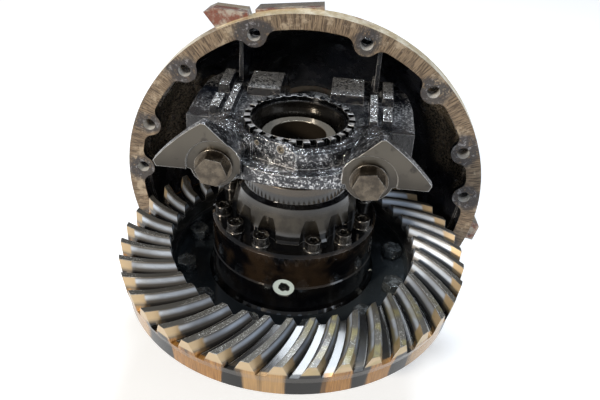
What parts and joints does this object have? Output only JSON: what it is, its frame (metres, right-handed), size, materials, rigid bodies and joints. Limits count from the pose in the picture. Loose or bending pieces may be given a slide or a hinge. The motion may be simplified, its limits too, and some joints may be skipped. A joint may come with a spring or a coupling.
{
  "type": "differential gear assembly",
  "caption": "Drive-axle differential carrier: spiral ring gear on a bolted case in a flanged bowl housing, driven by a bevel pinion through its rear barrel.",
  "frame": {"origin": "centre of the housing's joint face, on the axis of its outer edge", "axes": "+X to the right, +Y along the drive pinion away from the axle housing, +Z along the differential axis, with the ring gear low"},
  "size_m": [0.4935, 0.646, 0.4952],
  "materials": {
    "cast_housing": "oily cast iron with a machined joint face",
    "cast_cap": "oily cast iron, machined faces",
    "cast_cartridge": "painted cast iron",
    "case_iron": "machined and oiled",
    "gear_steel": "ground and polished flanks",
    "inner_gear_steel": "ground",
    "bolt_steel": "phosphated and oiled",
    "adjuster_steel": "turned and oiled",
    "bearing_steel": "polished",
    "cage_steel": "pressed sheet",
    "flange_steel": "turned",
    "washer_bronze": "turned",
    "seal_rubber": "matt"
  },
  "bodies": {
    "carrier": {"carrier_housing": "cast_housing", "bearing_cap_upper": "cast_cap", "bearing_cap_lower": "cast_cap", "cap_bolts": "bolt_steel", "cap_washers": "bolt_steel", "adjuster_ring_upper": "adjuster_steel", "adjuster_ring_lower": "adjuster_steel", "adjuster_lock_pins": "bolt_steel", "side_bearing_cup_upper": "bearing_steel", "side_bearing_cup_lower": "bearing_steel", "pinion_cartridge": "cast_cartridge", "cartridge_shim": "flange_steel", "cartridge_bolts": "bolt_steel", "pinion_head_bearing_cup": "bearing_steel", "pinion_tail_bearing_cup": "bearing_steel", "oil_seal": "seal_rubber", "pilot_bearing_outer_ring": "bearing_steel", "fill_plug": "bolt_steel"},
    "case": {"case_cover_half": "case_iron", "case_flange_half": "case_iron", "case_bolts": "bolt_steel", "ring_gear": "gear_steel", "ring_gear_bolts": "bolt_steel", "ring_gear_nuts": "bolt_steel", "spider": "inner_gear_steel", "side_bearing_cone_upper": "bearing_steel", "side_bearing_cone_lower": "bearing_steel", "side_gear_washer_upper": "washer_bronze", "side_gear_washer_lower": "washer_bronze", "spider_pinion_washers": "washer_bronze"},
    "side_gear_upper": {"side_gear_upper": "inner_gear_steel"},
    "side_gear_lower": {"side_gear_lower": "inner_gear_steel"},
    "spider_pinion_1": {"spider_pinion_1": "inner_gear_steel"},
    "spider_pinion_2": {"spider_pinion_2": "inner_gear_steel"},
    "spider_pinion_3": {"spider_pinion_3": "inner_gear_steel"},
    "spider_pinion_4": {"spider_pinion_4": "inner_gear_steel"},
    "pinion": {"drive_pinion": "gear_steel", "pinion_head_bearing_cone": "bearing_steel", "pinion_tail_bearing_cone": "bearing_steel", "bearing_spacer": "flange_steel", "drive_flange": "flange_steel", "dust_deflector": "flange_steel", "pinion_nut": "bolt_steel", "pinion_nut_washer": "bolt_steel", "pilot_bearing_inner_ring": "bearing_steel"},
    "side_rollers_upper": {"side_bearing_rollers_upper": "bearing_steel", "side_bearing_cage_upper": "cage_steel"},
    "side_rollers_lower": {"side_bearing_rollers_lower": "bearing_steel", "side_bearing_cage_lower": "cage_steel"},
    "head_rollers": {"pinion_head_bearing_rollers": "bearing_steel", "pinion_head_bearing_cage": "cage_steel"},
    "tail_rollers": {"pinion_tail_bearing_rollers": "bearing_steel", "pinion_tail_bearing_cage": "cage_steel"},
    "pilot_rollers": {"pilot_bearing_rollers": "bearing_steel", "pilot_bearing_cage": "cage_steel"}
  },
  "joints": [
    {"name": "ring_spin", "type": "hinge", "parent": "carrier", "child": "case", "pos_m": [0, -0.0955, 0], "axis": [0, 0, 1], "continuous": true},
    {"name": "pinion_spin", "type": "hinge", "parent": "carrier", "child": "pinion", "pos_m": [0, 0, 0.01699], "axis": [0, 1, 0], "continuous": true},
    {"name": "side_gear_upper_spin", "type": "hinge", "parent": "case", "child": "side_gear_upper", "pos_m": [0, -0.0955, 0], "axis": [0, 0, 1], "continuous": true},
    {"name": "side_gear_lower_spin", "type": "hinge", "parent": "case", "child": "side_gear_lower", "pos_m": [0, -0.0955, 0], "axis": [0, 0, 1], "continuous": true},
    {"name": "spider_pinion_1_spin", "type": "hinge", "parent": "case", "child": "spider_pinion_1", "pos_m": [0, -0.0955, -0.0149], "axis": [1, 0, 0], "continuous": true},
    {"name": "spider_pinion_2_spin", "type": "hinge", "parent": "case", "child": "spider_pinion_2", "pos_m": [0, -0.0955, -0.0149], "axis": [0, 1, 0], "continuous": true},
    {"name": "spider_pinion_3_spin", "type": "hinge", "parent": "case", "child": "spider_pinion_3", "pos_m": [0, -0.0955, -0.0149], "axis": [-1, 0, 0], "continuous": true},
    {"name": "spider_pinion_4_spin", "type": "hinge", "parent": "case", "child": "spider_pinion_4", "pos_m": [0, -0.0955, -0.0149], "axis": [0, -1, 0], "continuous": true},
    {"name": "side_rollers_upper_spin", "type": "hinge", "parent": "carrier", "child": "side_rollers_upper", "pos_m": [0, -0.0955, 0], "axis": [0, 0, 1], "continuous": true},
    {"name": "side_rollers_lower_spin", "type": "hinge", "parent": "carrier", "child": "side_rollers_lower", "pos_m": [0, -0.0955, 0], "axis": [0, 0, 1], "continuous": true},
    {"name": "head_rollers_spin", "type": "hinge", "parent": "carrier", "child": "head_rollers", "pos_m": [0, 0, 0.01699], "axis": [0, 1, 0], "continuous": true},
    {"name": "tail_rollers_spin", "type": "hinge", "parent": "carrier", "child": "tail_rollers", "pos_m": [0, 0, 0.01699], "axis": [0, 1, 0], "continuous": true},
    {"name": "pilot_rollers_spin", "type": "hinge", "parent": "carrier", "child": "pilot_rollers", "pos_m": [0, 0, 0.01699], "axis": [0, 1, 0], "continuous": true}
  ],
  "couplings": [
    {"joint": "pinion_spin", "follows": "ring_spin", "ratio": 4.875},
    {"joint": "side_rollers_upper_spin", "follows": "ring_spin", "ratio": 0.46148},
    {"joint": "side_rollers_lower_spin", "follows": "ring_spin", "ratio": 0.46148},
    {"joint": "head_rollers_spin", "follows": "ring_spin", "ratio": 2.0291},
    {"joint": "tail_rollers_spin", "follows": "ring_spin", "ratio": 2.0229},
    {"joint": "pilot_rollers_spin", "follows": "ring_spin", "ratio": 2.1483},
    {"joint": "side_gear_lower_spin", "follows": "side_gear_upper_spin", "ratio": -1},
    {"joint": "spider_pinion_1_spin", "follows": "side_gear_upper_spin", "ratio": -1.6},
    {"joint": "spider_pinion_2_spin", "follows": "side_gear_upper_spin", "ratio": -1.6},
    {"joint": "spider_pinion_3_spin", "follows": "side_gear_upper_spin", "ratio": -1.6},
    {"joint": "spider_pinion_4_spin", "follows": "side_gear_upper_spin", "ratio": -1.6}
  ]
}
